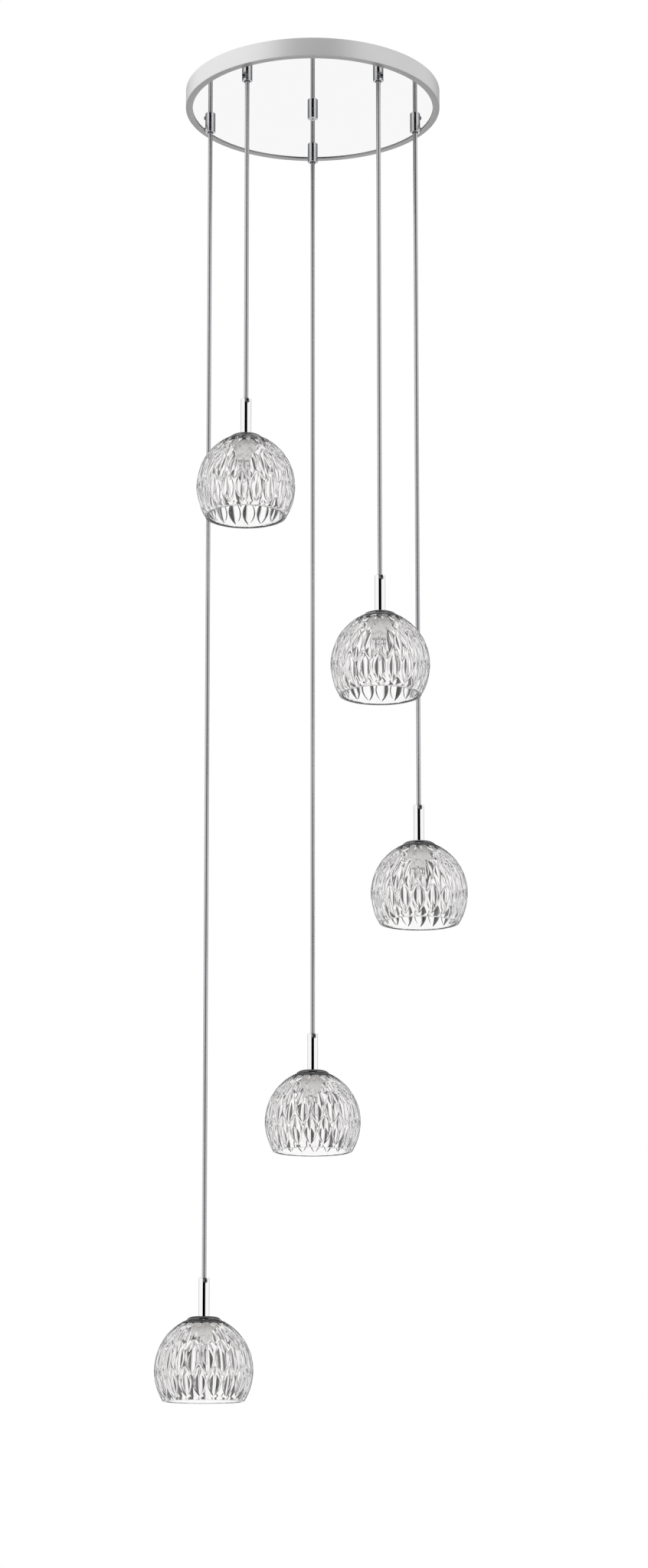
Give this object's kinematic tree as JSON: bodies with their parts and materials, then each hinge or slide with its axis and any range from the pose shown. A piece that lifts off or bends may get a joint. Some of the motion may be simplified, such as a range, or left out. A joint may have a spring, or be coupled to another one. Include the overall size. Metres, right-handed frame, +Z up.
{
  "type": "cluster pendant",
  "caption": "Ceiling cluster pendant: round canopy with a mirror plate, cords hanging at stepped heights, each with a chrome stem and a cut-glass bell shade.",
  "frame": {"origin": "centre of the ceiling face: the middle between the two bracket slots, on the face that lies against the ceiling; everything hangs below Z = 0", "axes": "+Z up, out of the ceiling face; X runs along the bracket from slot to slot; -Y is the near side, with the two highest shades"},
  "size_m": [0.4153, 0.4013, 1.7956],
  "materials": {
    "zinc_steel": "zinc plated",
    "spring_steel": "spring steel strip",
    "brass": "turned",
    "chrome": "polished chrome plate",
    "chrome_screw": "polished chrome plate",
    "satin_paint": "satin nickel look lacquer",
    "mirror_steel": "mirror polished sheet",
    "white_plastic": "moulded",
    "cord_sheath": "clear sheath over a tinned braid",
    "crystal_glass": "cut and polished",
    "ceramic": "unglazed steatite",
    "lamp_glass": "clear capsule"
  },
  "bodies": {
    "canopy": {"ceiling_bracket": "zinc_steel", "earth_screw": "brass", "centre_rod": "zinc_steel", "lock_nut": "zinc_steel", "centre_cap": "chrome", "canopy_band": "satin_paint", "canopy_plate": "mirror_steel", "plate_clips": "spring_steel", "grip_washers": "zinc_steel", "grip_nuts": "zinc_steel", "grip_screws": "chrome_screw", "terminal_block": "white_plastic", "terminal_screws": "brass", "cord_tails": "cord_sheath", "cord_grip_1": "chrome", "cord_grip_2": "chrome", "cord_grip_3": "chrome", "cord_grip_4": "chrome", "cord_grip_5": "chrome"},
    "cord_body_1": {"cord_1": "cord_sheath"},
    "pendant_1": {"stem_1": "chrome", "stem_screw_1": "chrome_screw", "cap_1": "chrome", "shade_1": "crystal_glass", "shade_ring_1": "zinc_steel", "lamp_holder_1": "ceramic"},
    "lamp_body_1": {"lamp_1": "lamp_glass"},
    "cord_body_2": {"cord_2": "cord_sheath"},
    "pendant_2": {"stem_2": "chrome", "stem_screw_2": "chrome_screw", "cap_2": "chrome", "shade_2": "crystal_glass", "shade_ring_2": "zinc_steel", "lamp_holder_2": "ceramic"},
    "lamp_body_2": {"lamp_2": "lamp_glass"},
    "cord_body_3": {"cord_3": "cord_sheath"},
    "pendant_3": {"stem_3": "chrome", "stem_screw_3": "chrome_screw", "cap_3": "chrome", "shade_3": "crystal_glass", "shade_ring_3": "zinc_steel", "lamp_holder_3": "ceramic"},
    "lamp_body_3": {"lamp_3": "lamp_glass"},
    "cord_body_4": {"cord_4": "cord_sheath"},
    "pendant_4": {"stem_4": "chrome", "stem_screw_4": "chrome_screw", "cap_4": "chrome", "shade_4": "crystal_glass", "shade_ring_4": "zinc_steel", "lamp_holder_4": "ceramic"},
    "lamp_body_4": {"lamp_4": "lamp_glass"},
    "cord_body_5": {"cord_5": "cord_sheath"},
    "pendant_5": {"stem_5": "chrome", "stem_screw_5": "chrome_screw", "cap_5": "chrome", "shade_5": "crystal_glass", "shade_ring_5": "zinc_steel", "lamp_holder_5": "ceramic"},
    "lamp_body_5": {"lamp_5": "lamp_glass"}
  },
  "joints": [
    {"name": "swing_1", "type": "hinge", "parent": "canopy", "child": "cord_body_1", "pos_m": [-0.08817, -0.12135, -0.0378], "axis": [-0.809, 0.5878, 0], "range_deg": [-3, 15]},
    {"name": "height_1", "type": "slide", "parent": "cord_body_1", "child": "pendant_1", "axis": [0, 0, 1], "range_m": [0, 0.15], "deforming": ["cord_1"]},
    {"name": "lamp_pull_1", "type": "slide", "parent": "pendant_1", "child": "lamp_body_1", "axis": [0, 0, -1], "range_m": [0, 0.012]},
    {"name": "swing_2", "type": "hinge", "parent": "canopy", "child": "cord_body_2", "pos_m": [0.08817, -0.12135, -0.0378], "axis": [-0.809, -0.5878, 0], "range_deg": [-3, 15]},
    {"name": "height_2", "type": "slide", "parent": "cord_body_2", "child": "pendant_2", "axis": [0, 0, 1], "range_m": [0, 0.15], "deforming": ["cord_2"]},
    {"name": "lamp_pull_2", "type": "slide", "parent": "pendant_2", "child": "lamp_body_2", "axis": [0, 0, -1], "range_m": [0, 0.012]},
    {"name": "swing_3", "type": "hinge", "parent": "canopy", "child": "cord_body_3", "pos_m": [0.14266, 0.04635, -0.0378], "axis": [0.309, -0.9511, 0], "range_deg": [-3, 15]},
    {"name": "height_3", "type": "slide", "parent": "cord_body_3", "child": "pendant_3", "axis": [0, 0, 1], "range_m": [0, 0.15], "deforming": ["cord_3"]},
    {"name": "lamp_pull_3", "type": "slide", "parent": "pendant_3", "child": "lamp_body_3", "axis": [0, 0, -1], "range_m": [0, 0.012]},
    {"name": "swing_4", "type": "hinge", "parent": "canopy", "child": "cord_body_4", "pos_m": [0, 0.15, -0.0378], "axis": [1, 0, 0], "range_deg": [-3, 15]},
    {"name": "height_4", "type": "slide", "parent": "cord_body_4", "child": "pendant_4", "axis": [0, 0, 1], "range_m": [0, 0.15], "deforming": ["cord_4"]},
    {"name": "lamp_pull_4", "type": "slide", "parent": "pendant_4", "child": "lamp_body_4", "axis": [0, 0, -1], "range_m": [0, 0.012]},
    {"name": "swing_5", "type": "hinge", "parent": "canopy", "child": "cord_body_5", "pos_m": [-0.14266, 0.04635, -0.0378], "axis": [0.309, 0.9511, 0], "range_deg": [-3, 15]},
    {"name": "height_5", "type": "slide", "parent": "cord_body_5", "child": "pendant_5", "axis": [0, 0, 1], "range_m": [0, 0.15], "deforming": ["cord_5"]},
    {"name": "lamp_pull_5", "type": "slide", "parent": "pendant_5", "child": "lamp_body_5", "axis": [0, 0, -1], "range_m": [0, 0.012]}
  ]
}
